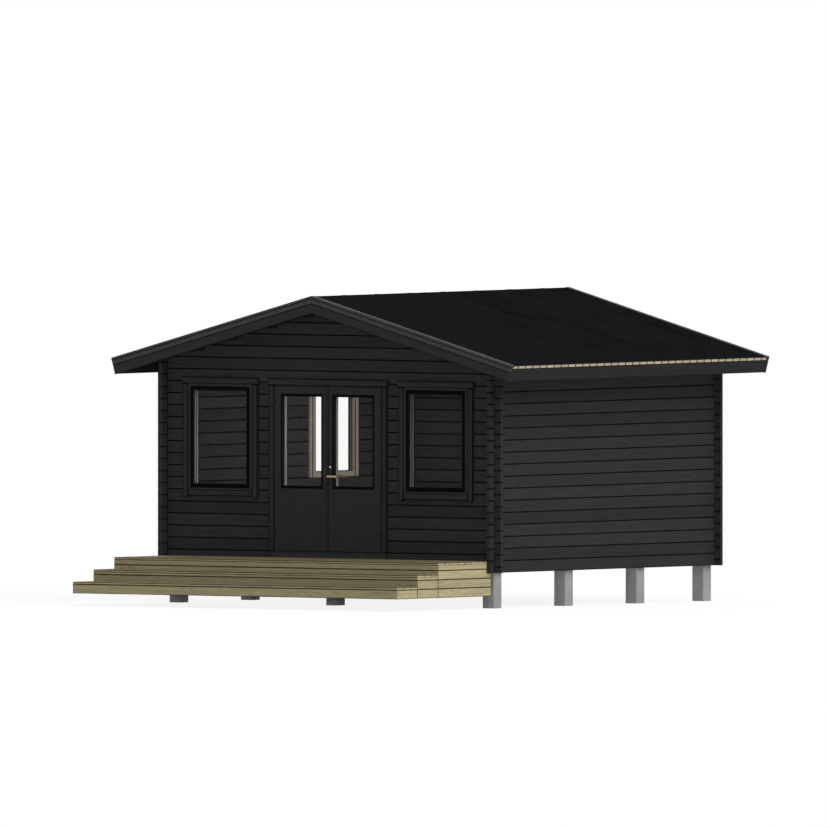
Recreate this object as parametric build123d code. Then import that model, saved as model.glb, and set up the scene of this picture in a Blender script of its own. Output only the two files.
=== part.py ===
from build123d import *
import os
from math import cos, radians, sin, tan

# Garden cabin built of interlocking logs, with a double glazed door, three windows, a low
# pitched gable roof and a stepped timber terrace. All sizes are in millimetres. X runs to the
# right along the front, Y runs to the rear and Z runs up from the ground. While the pieces are
# drawn, Y is 0 on the outer face of the front wall; at the end they are shifted so that the
# origin is on the ground below the middle of the whole object.

# Logs
log_thickness = 45.0
log_cover = 135.0
log_bevel = 6.0
play = 0.3
corner_overhang = 86.0
cut_margin = 1.0
same_level = 1.0

# Walls
window_from_door = 245.0
window_from_corner = 277.5
wall_depth = 4200.0
wall_base = 400.0
side_courses = 18
front_courses_to_head = 15

# Foundation and floor
post_side = 150.0
post_row_spacing = 1350.0
post_rows_before_last = 3
joist_depth = 98.0
joist_width = 45.0
bearer_width = 95.0
joist_count = 9
floor_thickness = 28.0

# Roof
roof_pitch = 14.8
verge_overhang = 343.0
eave_overhang = 485.0
roofing_thickness = 6.0
roof_board_thickness = 45.0
cap_depth = 30.0
cap_width = 64.0
batten_depth = 55.0
bargeboard_depth = 105.0
verge_board_thickness = 28.0
verge_setback = 3.0
fascia_depth = 136.0
fascia_thickness = 28.0
gable_tip = 12.0
least_gable_log = 36.0

# Windows
window_opening_width = 955.0
courses_under_windows = 6
window_courses = 9
side_window_from_rear = 1050.0
window_frame_depth = 66.0
window_frame_width = 57.5
window_frame_foot = 16.0
sash_stile_width = 52.5
sash_rail_width = 42.5
sash_depth = 49.0
sash_setback = 3.0
sash_gap = 3.0
glass_setback = 10.0
glass_thickness = 4.0
glass_groove = 12.0

# Casing boards round the openings
casing_width = 70.0
casing_thickness = 30.0
casing_lap = 30.0
head_casing_height = 75.0
head_casing_overrun = 18.0
head_casing_extra = 6.0
sill_casing_height = 70.0
sill_casing_drop = 17.0

# Double door
door_opening_width = 1555.0
door_gap = 7.5
door_meeting_gap = 7.0
door_clearance = 5.0
leaf_thickness = 40.0
leaf_bottom_gap = 10.0
leaf_top_gap = 16.0
leaf_hinge_stile = 113.0
leaf_meeting_stile = 86.5
leaf_top_rail = 99.0
leaf_panel_height = 720.0
glazing_ring_width = 15.0
glazing_ring_depth = 40.0
meeting_strip_width = 13.0
meeting_strip_thickness = 5.0
jamb_width = 77.0
jamb_depth = 60.0
threshold_depth = 132.5

# Hinges
hinge_count = 2
hinge_height = 90.0
hinge_barrel_radius = 7.0
hinge_pin_radius = 4.0
hinge_pin_length = 45.0
hinge_pin_clearance = 0.1
hinge_pin_end_room = 7.5
hinge_plate_thickness = 3.0
hinge_plate_width = 32.0
hinge_barrel_bite = 1.0
hinge_inset = 180.0

# Handle and lock on the right hand leaf
handle_rise = 839.0
handle_backset = 42.0
lever_length = 120.0
lever_height = 28.0
lever_depth = 14.0
lever_chamfer = 5.0
lever_projection = 52.0
lever_neck_radius = 8.5
rose_side = 50.0
rose_thickness = 7.0
spindle_radius = 7.0
spindle_clearance = 0.1
handle_bore_clearance = 2.0
lock_rise = 105.0
lock_radius = 13.0
lock_rose_side = 40.0

# Terrace
terrace_base = 140.0
terrace_rise = 130.0
step_going = 391.0
platform_going = 1003.0
beam_height = 102.0
beam_width = 45.0
deck_board_thickness = 28.0
deck_board_gap = 5.0
step_boards = 3
platform_boards = 8
cross_beams = 5
least_packer = 1.0

# Widths along the front wall, from its middle outwards
half_doorway = door_opening_width / 2
window_near = half_doorway + window_from_door
window_far = window_near + window_opening_width
inner_half_width = window_far + window_from_corner
outer_half_width = inner_half_width + log_thickness
wall_end = outer_half_width + corner_overhang
window_middle = (window_near + window_far) / 2

# Heights of the walls and their openings
half_course = log_cover / 2
quarter_course = log_cover / 4
side_wall_top = wall_base + side_courses * log_cover
top_side_log = side_wall_top - log_cover
first_front_joint = wall_base + half_course
opening_head = first_front_joint + front_courses_to_head * log_cover
window_sill = first_front_joint + courses_under_windows * log_cover
side_window_low = wall_base + (courses_under_windows + 1) * log_cover
side_window_high = side_window_low + window_courses * log_cover
side_window_centre = wall_depth - side_window_from_rear
side_opening = (side_window_centre - window_opening_width / 2,
                side_window_centre + window_opening_width / 2)

# The roof boards rest on the inner top edges of the side walls, which sets the ridge
slope = tan(radians(roof_pitch))
slope_cos = cos(radians(roof_pitch))
slope_sin = sin(radians(roof_pitch))
soffit_depth = roofing_thickness + roof_board_thickness
soffit_at_ridge = side_wall_top + play / slope_cos + inner_half_width * slope
ridge_height = soffit_at_ridge + soffit_depth / slope_cos
eave_half_span = outer_half_width + eave_overhang
eave_top = ridge_height - eave_half_span * slope
verge_front = -verge_overhang
verge_rear = wall_depth + verge_overhang
verge_back = verge_setback * 2 + verge_board_thickness

# Floor and terrace
terrace_front = -(platform_going + 2 * step_going)
middle_of_object = (terrace_front + verge_rear) / 2
crossing_spacing = log_cover / slope
terrace_half_width = inner_half_width
floor_top = wall_base + joist_depth + play + floor_thickness
threshold_top = first_front_joint + threshold_depth


def block(x0, x1, y0, y1, z0, z1):
    """Box between the given low and high sides."""
    centre = Pos((x0 + x1) / 2, (y0 + y1) / 2, (z0 + z1) / 2)
    return centre * Box(x1 - x0, y1 - y0, z1 - z0)


def along_x(outline, x0, x1):
    """Solid with an outline of (y, z) points, carried from x0 to x1."""
    plane = Plane(origin=(x0, 0, 0), x_dir=(0, 1, 0), z_dir=(1, 0, 0))
    return extrude(plane * make_face(Polyline(*outline, close=True)), x1 - x0)


def along_y(outline, y0, y1):
    """Solid with an outline of (x, z) points, carried from y0 to y1."""
    plane = Plane(origin=(0, y1, 0), x_dir=(1, 0, 0), z_dir=(0, -1, 0))
    return extrude(plane * make_face(Polyline(*outline, close=True)), y1 - y0)


def along_z(outline, z0, z1):
    """Solid with an outline of (x, y) points, carried from z0 to z1."""
    plane = Plane(origin=(0, 0, z0), x_dir=(1, 0, 0), z_dir=(0, 0, 1))
    return extrude(plane * make_face(Polyline(*outline, close=True)), z1 - z0)


def mirrored(solids):
    """The same solids on the other side of the ridge plane."""
    return [mirror(solid, about=Plane.YZ) for solid in solids]


def save(name, solids):
    """Write one named piece, shifted so that the origin is under the middle of the object."""
    shifted = [Pos(0, -middle_of_object, 0) * solid for solid in solids]
    flat = [part for solid in shifted for part in solid.solids()]
    export_step(Compound(children=flat), f"parts/{name}.step")


# Log walls. Every log is a bevelled board on edge. The logs of the front and rear walls lie half
# a course higher than those of the side walls, so that where two walls cross each log keeps the
# middle half of its height and the rest is notched away for the log above and the log below.


def log_outline(outer, inner, low, high):
    """Section of a log from its outer to its inner face, bevelled outside to make the V joints."""
    low = low + play / 2
    high = high - play / 2
    bevel = log_bevel if inner > outer else -log_bevel
    return [
        (outer, low + log_bevel),
        (outer + bevel, low),
        (inner, low),
        (inner, high),
        (outer + bevel, high),
        (outer, high - log_bevel),
    ]


def under_roof(y0, y1):
    """Everything below the underside of the roof boards."""
    half = eave_half_span
    peak = soffit_at_ridge - play / slope_cos
    edge = peak - half * slope
    return along_y([(-half, 0), (half, 0), (half, edge), (0, peak), (-half, edge)], y0, y1)


def notch_heights(low, crossing_low, height=log_cover):
    """Low and high ends of the notch that a log at low needs for a crossing log, or None."""
    if abs(crossing_low + half_course - low) < same_level:
        return low - cut_margin, low + quarter_course + play / 2
    if abs(crossing_low - half_course - low) < same_level:
        return low + height - quarter_course - play / 2, low + height + cut_margin
    return None


# Logs that run from front to rear: both side walls, and above them the purlins, which lie one
# course higher for every step inwards, so that each touches the underside of the roof.

purlin_count = int((inner_half_width - log_thickness) / crossing_spacing)
crossing_logs = [(inner_half_width, wall_base + n * log_cover) for n in range(side_courses)]
crossing_logs += [
    (inner_half_width - n * crossing_spacing, top_side_log + n * log_cover)
    for n in range(1, purlin_count + 1)
]


def cut_by_roof(log, top, farthest_x, y0, y1):
    """The log, with its top cut to the slope where it would reach into the roof boards."""
    if top < soffit_at_ridge - play / slope_cos - farthest_x * slope:
        return log
    return log & under_roof(y0 - cut_margin, y1 + cut_margin)


def long_log(inner_side, low, y0, y1):
    """One front to rear log on the right hand side, notched for the front and rear walls."""
    outer_side = inner_side + log_thickness
    log = along_y(log_outline(outer_side, inner_side, low, low + log_cover), y0, y1)
    for wall_side in (0, wall_depth - log_thickness):
        near = wall_side - play
        far = wall_side + log_thickness + play
        if y0 < far and y1 > near:
            for wall_low in (low - half_course, low + half_course):
                heights = notch_heights(low, wall_low)
                log -= block(inner_side - cut_margin, outer_side + cut_margin, near, far, *heights)
    return cut_by_roof(log, low + log_cover, outer_side, y0, y1)


def side_wall(opening=None):
    """Logs of the right hand side wall, with a gap in the window courses if there is an opening."""
    logs = []
    for n in range(side_courses):
        low = wall_base + n * log_cover
        y0 = -corner_overhang
        y1 = wall_depth + corner_overhang
        if n == side_courses - 1:
            y0 = verge_front + verge_back + play
            y1 = verge_rear - verge_back - play
        in_window = side_window_low - same_level < low < side_window_high - same_level
        if opening and in_window:
            logs.append(long_log(inner_half_width, low, y0, opening[0]))
            logs.append(long_log(inner_half_width, low, opening[1], y1))
        else:
            logs.append(long_log(inner_half_width, low, y0, y1))
    return logs


def cross_log(wall_side, low, high, x0, x1):
    """One log of the front or rear wall, notched for each log that crosses it."""
    faces = (wall_side, wall_side + log_thickness)
    outer, inner = faces if wall_side == 0 else reversed(faces)
    log = along_x(log_outline(outer, inner, low, high), x0, x1)
    for side, crossing_low in crossing_logs:
        heights = notch_heights(low, crossing_low)
        if high - low < log_cover - same_level:
            heights = None
            if crossing_low == low:
                heights = (low + quarter_course - play / 2, high + cut_margin)
        for near in (side, -side - log_thickness):
            if heights and x0 < near and x1 > near + log_thickness:
                log -= block(near - play, near + log_thickness + play,
                             faces[0] - cut_margin, faces[1] + cut_margin, *heights)
    return cut_by_roof(log, high, max(-x0, x1), *faces)


def gable_courses():
    """Low end and half length of each log from the opening heads to the ridge."""
    courses = []
    low = opening_head
    under_ridge = soffit_at_ridge - play / slope_cos
    while under_ridge - low > least_gable_log:
        reach = (under_ridge - low - gable_tip) / slope
        courses.append((low, min(reach, wall_end)))
        low += log_cover
    return courses


def wall_logs_between(wall_side, x_spans_of_course):
    """Logs of the lower wall, where x_spans_of_course gives the spans of each course."""
    logs = []
    for n in range(front_courses_to_head):
        low = first_front_joint + n * log_cover
        for x0, x1 in x_spans_of_course(n):
            logs.append(cross_log(wall_side, low, low + log_cover, x0, x1))
    return logs


def right_of_door(course):
    """Spans of one course of the front wall, to the right of the doorway."""
    if courses_under_windows <= course < courses_under_windows + window_courses:
        return [(half_doorway, window_near), (window_far, wall_end)]
    return [(half_doorway, wall_end)]


def left_of_door(course):
    """Spans of one course of the front wall, to the left of the doorway."""
    return [(-x1, -x0) for x0, x1 in right_of_door(course)]


def whole_wall(course):
    """Span of one course of the rear wall."""
    return [(-wall_end, wall_end)]


def half_log(wall_side):
    """The half log that starts the front and rear walls half a course up."""
    return cross_log(wall_side, wall_base, first_front_joint, -wall_end, wall_end)


def gable(wall_side):
    """Logs over the door and windows, cut to the slope of the roof."""
    return [cross_log(wall_side, low, low + log_cover, -reach, reach)
            for low, reach in gable_courses()]


def purlins():
    """Logs that carry the roof boards, on both slopes."""
    y0 = verge_front + verge_back + play
    y1 = verge_rear - verge_back - play
    right = [long_log(side, low, y0, y1) for side, low in crossing_logs[side_courses:]]
    return right + mirrored(right)


# Foundation and floor


def spread(first, last, count):
    """Evenly spaced places from first to last."""
    return [first + (last - first) * n / (count - 1) for n in range(count)]


outer_post = inner_half_width - post_side / 2
first_post_row = log_thickness + post_side / 2
post_places_y = [first_post_row + n * post_row_spacing for n in range(post_rows_before_last)]
post_places_y.append(wall_depth - first_post_row)


def foundation_posts():
    """Square posts along both sides, flush with the inner faces of the walls, and one in front."""
    half = post_side / 2
    places = [(x, y) for x in (-outer_post, outer_post) for y in post_places_y]
    places.append((0, first_post_row))
    return [block(x - half, x + half, y - half, y + half, 0, wall_base - play)
            for x, y in places]


def bearer_places():
    """Front side of each bearer; the first and last lie against the walls."""
    first = log_thickness + play
    last = wall_depth - log_thickness - play - bearer_width
    middle = [y - bearer_width / 2 for y in post_places_y[1:-1]]
    return [first] + middle + [last]


def floor_joists():
    """Bearers from side to side on the posts, with joists between them."""
    half = inner_half_width - play
    top = wall_base + joist_depth
    places = bearer_places()
    solids = [block(-half, half, y, y + bearer_width, wall_base, top) for y in places]
    for front, rear in zip(places, places[1:]):
        for x in spread(-half, half - joist_width, joist_count):
            solids.append(block(x, x + joist_width, front + bearer_width + play, rear - play,
                                wall_base, top))
    return solids


def floor_boards():
    """Floor inside the walls."""
    half = inner_half_width - play
    return [block(-half, half, log_thickness + play, wall_depth - log_thickness - play,
                  floor_top - floor_thickness, floor_top)]


# Roof


def roof_outline(top, bottom, inset=0.0, length=0.0):
    """Outline (x, z) of a layer of the right hand slope, from top to bottom below its surface.

    The layer ends square to the slope, inset from the eave. It runs up to the ridge plane, or
    up the slope by the given length.
    """
    def at_ridge(depth):
        return play / 2, ridge_height - play / 2 * slope - depth / slope_cos

    def at_eave(depth):
        return (eave_half_span - inset * slope_cos - depth * slope_sin,
                eave_top + inset * slope_sin - depth * slope_cos)

    def up_slope(depth):
        x, z = at_eave(depth)
        return x - length * slope_cos, z + length * slope_sin

    start = up_slope if length else at_ridge
    return [start(top), at_eave(top), at_eave(bottom), start(bottom)]


def verge_cap():
    """Cap along the front edge of the right hand slope."""
    return along_y(roof_outline(0, cap_depth), verge_front, verge_front + cap_width)


def verge_batten():
    """Upper verge board under the cap."""
    front = verge_front + verge_setback
    return along_y(roof_outline(cap_depth + play, cap_depth + batten_depth), front,
                   front + verge_board_thickness)


def bargeboard():
    """Lower verge board, which closes the ends of the purlins."""
    top = cap_depth + batten_depth + play
    front = verge_front + 2 * verge_setback
    return along_y(roof_outline(top, top + bargeboard_depth), front, front + verge_board_thickness)


def to_rear(solids):
    """The same solids at the rear verge."""
    middle = Plane(origin=(0, wall_depth / 2, 0), z_dir=(0, 1, 0))
    return [mirror(solid, about=middle) for solid in solids]


def roof_boards():
    """Boards of the right hand slope, rebated under the verge caps."""
    slab = along_y(roof_outline(roofing_thickness + play, soffit_depth),
                   verge_front + verge_back + play, verge_rear - verge_back - play)
    rebate = along_y(roof_outline(-cut_margin, cap_depth + play),
                     verge_front - cut_margin, verge_front + cap_width + play)
    for cutter in [rebate] + to_rear([rebate]):
        slab -= cutter
    return [slab]


def roofing():
    """Roof covering of the right hand slope, between the verge caps."""
    return [along_y(roof_outline(0, roofing_thickness), verge_front + cap_width + play,
                    verge_rear - cap_width - play)]


def fascia():
    """Board under the ends of the roof boards of the right hand slope."""
    outline = roof_outline(soffit_depth + play, soffit_depth + fascia_depth, verge_setback,
                           fascia_thickness)
    return [along_y(outline, verge_front + verge_back + play, verge_rear - verge_back - play)]


# Windows and casing. These are drawn in a wall plane of their own: X along the wall, Y into the
# room from the outer face, Z up. The side window is then turned into the left hand wall.


def frame_ring(half_width, low, high, side, foot, head, y0, y1):
    """Four members round an opening, the uprights between the head and the foot."""
    return [
        block(-half_width, half_width, y0, y1, low, low + foot - play),
        block(-half_width, half_width, y0, y1, high - head + play, high),
        block(-half_width, -half_width + side, y0, y1, low + foot, high - head),
        block(half_width - side, half_width, y0, y1, low + foot, high - head),
    ]


def window_frame(low):
    """Frame, outward opening sash and inner sash of the window whose wall opening starts at low.

    The sash laps over the front of the frame, between the casing boards, as the door leaves do.
    """
    half = window_opening_width / 2 - play
    bottom = low + play
    top = low + window_courses * log_cover - play
    frame = frame_ring(half, bottom, top, window_frame_width, window_frame_foot,
                       window_frame_width, play, window_frame_depth)
    sash_half = half - window_frame_width - play
    sash_low = bottom + window_frame_foot + play
    sash_high = top - window_frame_width - play
    sash_front = -casing_thickness + sash_setback
    sash_back = sash_front + sash_depth
    lap = casing_lap - window_frame_width + sash_gap
    lap_low = low + sash_gap
    lap_high = low + window_courses * log_cover - casing_lap - sash_gap
    widths = (sash_stile_width, sash_rail_width, sash_rail_width)
    outer_widths = (sash_stile_width - lap, sash_low + sash_rail_width - lap_low,
                    lap_high - sash_high + sash_rail_width)
    back_part = frame_ring(sash_half, sash_low, sash_high, *widths, 0, sash_back)
    front_part = frame_ring(sash_half - lap, lap_low, lap_high, *outer_widths, sash_front, 0)
    groove = window_pane(low, play)[0]
    sash = [front + back - groove for front, back in zip(front_part, back_part)]
    inner_sash = frame_ring(sash_half, sash_low, sash_high, *widths, sash_back + play,
                            window_frame_depth)
    return frame + sash + inner_sash


def window_pane(low, extra=0.0):
    """Glass of one window, let into a groove in the sash."""
    let_in = glass_groove + extra
    side = window_frame_width + sash_stile_width + 2 * play - let_in
    foot = window_frame_foot + sash_rail_width + 2 * play - let_in
    head = window_frame_width + sash_rail_width + 2 * play - let_in
    half = window_opening_width / 2 - side
    front = -casing_thickness + sash_setback + glass_setback - extra
    back = front + glass_thickness + 2 * extra
    top = low + window_courses * log_cover
    return [block(-half, half, front, back, low + foot, top - head)]


def casing(half_opening, low, head_low, sill=False):
    """Boards round an opening, on the outer face of the wall."""
    inner = half_opening - casing_lap
    outer = inner + casing_width
    upright_low = low - sill_casing_drop - sill_casing_height if sill else low
    front = -casing_thickness
    solids = [
        block(inner, outer, front, -play, upright_low, head_low - play),
        block(-outer, -inner, front, -play, upright_low, head_low - play),
        block(-outer - head_casing_overrun, outer + head_casing_overrun, front - head_casing_extra,
              -play, head_low, head_low + head_casing_height),
    ]
    if sill:
        sill_low = low - sill_casing_height
        solids.append(block(-inner + play, inner - play, front, -play, sill_low, low))
    return solids


def window_casing(low):
    """Casing of one window whose wall opening starts at low."""
    head_low = low + window_courses * log_cover - casing_lap
    return casing(window_opening_width / 2, low, head_low, sill=True)


def at_front(solids, x):
    """Move a piece from its own wall plane into the front wall."""
    return [Pos(x, 0, 0) * solid for solid in solids]


def at_left_wall(solids):
    """Turn a piece from its own wall plane into the left hand wall."""
    place = Pos(-outer_half_width, side_window_centre, 0) * Rot(0, 0, -90)
    return [place * solid for solid in solids]


# Double door


casing_inner = half_doorway - casing_lap
leaf_outer = casing_inner - door_gap
leaf_inner = door_meeting_gap / 2
leaf_front = -casing_thickness
leaf_back = leaf_front + leaf_thickness
leaf_bottom = threshold_top + leaf_bottom_gap
door_head_casing_low = opening_head - casing_lap
leaf_top = door_head_casing_low - leaf_top_gap
leaf_glass_bottom = leaf_bottom + leaf_panel_height
hinge_x = casing_inner - door_gap / 2
hinge_y = leaf_front - hinge_plate_thickness - hinge_barrel_radius + hinge_barrel_bite


def door_frame():
    """Jambs, head and threshold that the leaves close against."""
    half = half_doorway - play
    front = leaf_back + door_clearance
    back = front + jamb_depth
    low = first_front_joint + play
    head_high = opening_head - play
    head_low = head_high - jamb_width
    threshold = block(-half, half, play, log_thickness, low, threshold_top)
    threshold += block(-half, half, log_thickness, back, floor_top + play, threshold_top)
    head = block(-half, half, front, back, head_low, head_high)
    jamb = block(half - jamb_width, half, front, back, threshold_top + play, head_low - play)
    return [threshold, head, jamb] + mirrored([jamb])


def glass_pane(extra=0.0):
    """Glass of the right hand leaf, let into a groove in its members."""
    let_in = glass_groove + extra
    x0 = leaf_inner + leaf_meeting_stile - let_in
    x1 = leaf_outer - leaf_hinge_stile + let_in
    z0 = leaf_glass_bottom - let_in
    z1 = leaf_top - leaf_top_rail + let_in
    middle = (leaf_front + leaf_back) / 2
    thick = glass_thickness / 2 + extra
    return block(x0, x1, middle - thick, middle + thick, z0, z1)


def door_leaf():
    """Right hand leaf: two stiles, a top rail, a plain lower panel and the meeting strip."""
    stile_in = leaf_inner + leaf_meeting_stile
    stile_out = leaf_outer - leaf_hinge_stile
    members = [
        (leaf_inner, stile_in, leaf_bottom, leaf_top),
        (stile_out, leaf_outer, leaf_bottom, leaf_top),
        (stile_in + play, stile_out - play, leaf_top - leaf_top_rail, leaf_top),
        (stile_in + play, stile_out - play, leaf_bottom, leaf_glass_bottom),
    ]
    members = [block(x0, x1, leaf_front, leaf_back, z0, z1) for x0, x1, z0, z1 in members]
    strip = block(leaf_inner, leaf_inner + meeting_strip_width,
                  leaf_front - meeting_strip_thickness, leaf_front - play, leaf_bottom, leaf_top)
    groove = glass_pane(play)
    return [member - groove for member in members] + [strip] + glazing_ring()


def glazing_ring():
    """Deep glazing beads round the inner side of the glass of the right hand leaf."""
    x0 = leaf_inner + leaf_meeting_stile - glazing_ring_width
    x1 = leaf_outer - leaf_hinge_stile + glazing_ring_width
    z0 = leaf_glass_bottom - glazing_ring_width
    z1 = leaf_top - leaf_top_rail + glazing_ring_width
    widths = (glazing_ring_width, glazing_ring_width, glazing_ring_width)
    ring = frame_ring((x1 - x0) / 2, z0, z1, *widths, leaf_back + play,
                      leaf_back + glazing_ring_depth)
    return [Pos((x0 + x1) / 2, 0, 0) * member for member in ring]


def hinge_places():
    """Middle height of each hinge."""
    return spread(leaf_bottom + hinge_inset, leaf_top - hinge_inset, hinge_count)


def leaf_hinges():
    """Upper halves of the lift-off hinges, on the right hand leaf."""
    solids = []
    bore_radius = hinge_pin_radius + hinge_pin_clearance
    bore_length = hinge_pin_length + 2 * hinge_pin_end_room
    for z in hinge_places():
        top = z + hinge_height / 2
        low = z + play
        barrel = Pos(hinge_x, hinge_y, (low + top) / 2) * Cylinder(hinge_barrel_radius, top - low)
        plate = block(hinge_x - hinge_plate_width, hinge_x, leaf_front - hinge_plate_thickness,
                      leaf_front - play, low, top)
        bore = Pos(hinge_x, hinge_y, z) * Cylinder(bore_radius, bore_length)
        solids.append(barrel + plate - bore)
    return solids


def frame_hinges():
    """Lower halves of the lift-off hinges with their pins, on the right hand casing."""
    solids = []
    for z in hinge_places():
        low = z - hinge_height / 2
        barrel = Pos(hinge_x, hinge_y, (low + z) / 2) * Cylinder(hinge_barrel_radius, z - low)
        plate = block(hinge_x, hinge_x + hinge_plate_width, leaf_front - hinge_plate_thickness,
                      leaf_front - play, low, z)
        pin = Pos(hinge_x, hinge_y, z) * Cylinder(hinge_pin_radius, hinge_pin_length)
        solids.append(barrel + plate + pin)
    return solids


# Lever handle and lock


handle_x = leaf_inner + handle_backset
handle_height = leaf_bottom + handle_rise
lock_height = handle_height + lock_rise
rose_spans = [(leaf_front - rose_thickness, leaf_front - play),
              (leaf_back + play, leaf_back + rose_thickness)]


def rod_y(radius, z, y0, y1):
    """Round rod along Y, at the handle's distance from the meeting edge."""
    return Pos(handle_x, (y0 + y1) / 2, z) * Rot(90, 0, 0) * Cylinder(radius, y1 - y0)


def square_rose(side, z, y0, y1):
    """Square cover plate round the handle's spindle or the lock."""
    return block(handle_x - side / 2, handle_x + side / 2, y0, y1, z - side / 2, z + side / 2)


def lever(neck_start, direction):
    """One lever arm on its neck, standing out from the leaf in the given direction."""
    neck_end = neck_start + direction * lever_projection
    neck = rod_y(lever_neck_radius, handle_height, *sorted((neck_start, neck_end)))
    arm_y = sorted((neck_end - direction * lever_depth, neck_end))
    low = handle_height - lever_height / 2
    high = handle_height + lever_height / 2
    outline = [
        (arm_y[0], low + lever_chamfer),
        (arm_y[0] + lever_chamfer, low),
        (arm_y[1] - lever_chamfer, low),
        (arm_y[1], low + lever_chamfer),
        (arm_y[1], high - lever_chamfer),
        (arm_y[1] - lever_chamfer, high),
        (arm_y[0] + lever_chamfer, high),
        (arm_y[0], high - lever_chamfer),
    ]
    return neck + along_x(outline, handle_x - lever_height / 2, handle_x + lever_length)


def door_handle():
    """Both levers on one spindle through the leaf."""
    outside = leaf_front - rose_thickness - play
    inside = leaf_back + rose_thickness + play
    spindle = rod_y(spindle_radius, handle_height, outside - cut_margin, inside + cut_margin)
    return [spindle + lever(outside, -1) + lever(inside, 1)]


def handle_roses():
    """Square roses of the handle and the lock, with the lock cylinder."""
    solids = []
    lock = rod_y(lock_radius, lock_height, leaf_front - 2 * rose_thickness,
                 leaf_back + 2 * rose_thickness)
    for y0, y1 in rose_spans:
        hole = rod_y(spindle_radius + spindle_clearance, handle_height, y0 - cut_margin,
                     y1 + cut_margin)
        solids.append(square_rose(rose_side, handle_height, y0, y1) - hole)
        lock += square_rose(lock_rose_side, lock_height, y0, y1)
    return solids + [lock]


def right_leaf_with_holes():
    """Right hand leaf, bored through its meeting stile for the spindle and the lock."""
    leaf = door_leaf()
    y0 = leaf_front - cut_margin
    y1 = leaf_back + cut_margin
    leaf[0] -= rod_y(spindle_radius + handle_bore_clearance, handle_height, y0, y1)
    leaf[0] -= rod_y(lock_radius + play, lock_height, y0, y1)
    return leaf


# Terrace: three frames of stacked beams side by side, each with its own boards


def beam_ring(front, rear, low, high):
    """Four mitred beams round one layer of a terrace frame."""
    half = terrace_half_width
    gap = play / 2
    inner = half - beam_width
    inner_front = front + beam_width
    inner_rear = rear - beam_width
    along = [(-half + gap, front), (half - gap, front), (inner - gap, inner_front),
             (-inner + gap, inner_front)]
    across = [(half, front + gap), (half, rear - gap), (inner, inner_rear - gap),
              (inner, inner_front + gap)]
    back = [(x, front + rear - y) for x, y in along]
    other = [(-x, y) for x, y in across]
    return [along_z(outline, low, high) for outline in (along, across, back, other)]


def terrace_frame(front, rear, layers):
    """Stacked beams of one step, with cross beams inside the ring."""
    solids = []
    low = terrace_base
    for height in layers:
        solids += beam_ring(front + play / 2, rear - play / 2, low, low + height - play)
        low += height
    inside = terrace_half_width - beam_width - play
    places = spread(-inside, inside - beam_width, cross_beams + 2)[1:-1]
    for x in places:
        solids.append(block(x, x + beam_width, front + beam_width + play,
                            rear - beam_width - play, terrace_base, low - play))
    return solids


def terrace_boards(front, rear, top, count):
    """Deck boards of one step."""
    pitch = (rear - front + deck_board_gap) / count
    return [block(-terrace_half_width, terrace_half_width, front + n * pitch,
                  front + (n + 1) * pitch - deck_board_gap, top - deck_board_thickness, top)
            for n in range(count)]


def step_layers(rises):
    """Heights of the beams and packers that lift the boards of a step to its level."""
    room = rises * terrace_rise - deck_board_thickness
    beams = int(room // beam_height)
    packer = room - beams * beam_height
    return [beam_height] * beams + ([packer] if packer > least_packer else [])


os.makedirs("parts", exist_ok=True)

save("foundation_posts", foundation_posts())
save("floor_joists", floor_joists())
save("floor_boards", floor_boards())

rear_side = wall_depth - log_thickness
save("front_sill_log", [half_log(0)])
save("front_wall_left_logs", wall_logs_between(0, left_of_door))
save("front_wall_right_logs", wall_logs_between(0, right_of_door))
save("front_gable_logs", gable(0))
save("rear_wall_logs", [half_log(rear_side)] + wall_logs_between(rear_side, whole_wall))
save("rear_gable_logs", gable(rear_side))
save("left_wall_logs", mirrored(side_wall(side_opening)))
save("right_wall_logs", side_wall())
save("roof_purlins", purlins())

save("roof_boards_right", roof_boards())
save("roof_boards_left", mirrored(roof_boards()))
save("roofing_right", roofing())
save("roofing_left", mirrored(roofing()))
front_barges = [bargeboard()] + mirrored([bargeboard()])
front_battens = [verge_batten()] + mirrored([verge_batten()])
front_caps = [verge_cap()] + mirrored([verge_cap()])
save("front_bargeboards", front_barges)
save("rear_bargeboards", to_rear(front_barges))
save("verge_battens", front_battens + to_rear(front_battens))
save("verge_caps", front_caps + to_rear(front_caps))
save("eave_fascias", fascia() + mirrored(fascia()))

window_glass = at_left_wall(window_pane(side_window_low))
for name, x in (("left", -window_middle), ("right", window_middle)):
    save(f"{name}_front_window_frame", at_front(window_frame(window_sill), x))
    save(f"{name}_front_window_casing", at_front(window_casing(window_sill), x))
    window_glass += at_front(window_pane(window_sill), x)
save("side_window_frame", at_left_wall(window_frame(side_window_low)))
save("side_window_casing", at_left_wall(window_casing(side_window_low)))
save("window_glass", window_glass)

save("door_frame", door_frame())
save("door_casing", casing(half_doorway, first_front_joint + log_cover, door_head_casing_low))
save("door_hinge_plates", frame_hinges() + mirrored(frame_hinges()))
save("right_door_leaf", right_leaf_with_holes())
save("right_door_glass", [glass_pane()])
save("right_door_hinges", leaf_hinges())
save("left_door_leaf", mirrored(door_leaf()))
save("left_door_glass", mirrored([glass_pane()]))
save("left_door_hinges", mirrored(leaf_hinges()))
save("door_lock", handle_roses())
save("door_handle", door_handle())

middle_front = -platform_going - step_going
levels = [
    ("bottom_step", terrace_front, middle_front, step_boards),
    ("middle_step", middle_front, -platform_going, step_boards),
    ("platform", -platform_going, -play / 2, platform_boards),
]
for rises, (name, front, rear, boards) in enumerate(levels, start=1):
    top = terrace_base + rises * terrace_rise
    save(f"{name}_frame", terrace_frame(front, rear, step_layers(rises)))
    save(f"{name}_boards", terrace_boards(front, rear - play / 2, top, boards))
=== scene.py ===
import math

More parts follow.
